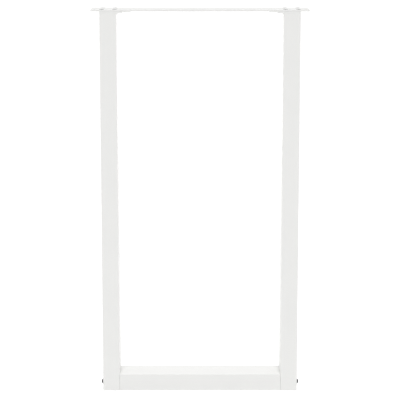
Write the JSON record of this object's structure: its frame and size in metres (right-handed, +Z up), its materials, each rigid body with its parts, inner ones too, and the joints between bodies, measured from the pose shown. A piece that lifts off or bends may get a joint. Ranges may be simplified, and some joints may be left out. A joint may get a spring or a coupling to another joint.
{
  "type": "table leg",
  "caption": "U shaped steel table leg: upright rectangular tubes, a matching tube laid along the floor between them, and a flat top plate with screw holes for a table top.",
  "frame": {"origin": "on the floor, midway between the posts and midway through their depth", "axes": "+X along the top plate from the left post to the right post, +Y from the front to the back, +Z up"},
  "size_m": [0.4, 0.06, 0.72],
  "materials": {
    "white_powder_coat": "satin white powder coat with a very fine texture",
    "white_plastic": "moulded, slightly rough",
    "dark_fastener": "dark zinc plating"
  },
  "bodies": {
    "root": {"left_post": "white_powder_coat", "right_post": "white_powder_coat", "bottom_bar": "white_powder_coat", "top_plate": "white_powder_coat", "left_post_flange": "white_powder_coat", "right_post_flange": "white_powder_coat", "left_bar_end_plate": "white_powder_coat", "right_bar_end_plate": "white_powder_coat", "left_foot_plug": "white_plastic", "right_foot_plug": "white_plastic", "flange_screws": "dark_fastener", "side_bolts": "dark_fastener"}
  },
  "joints": []
}
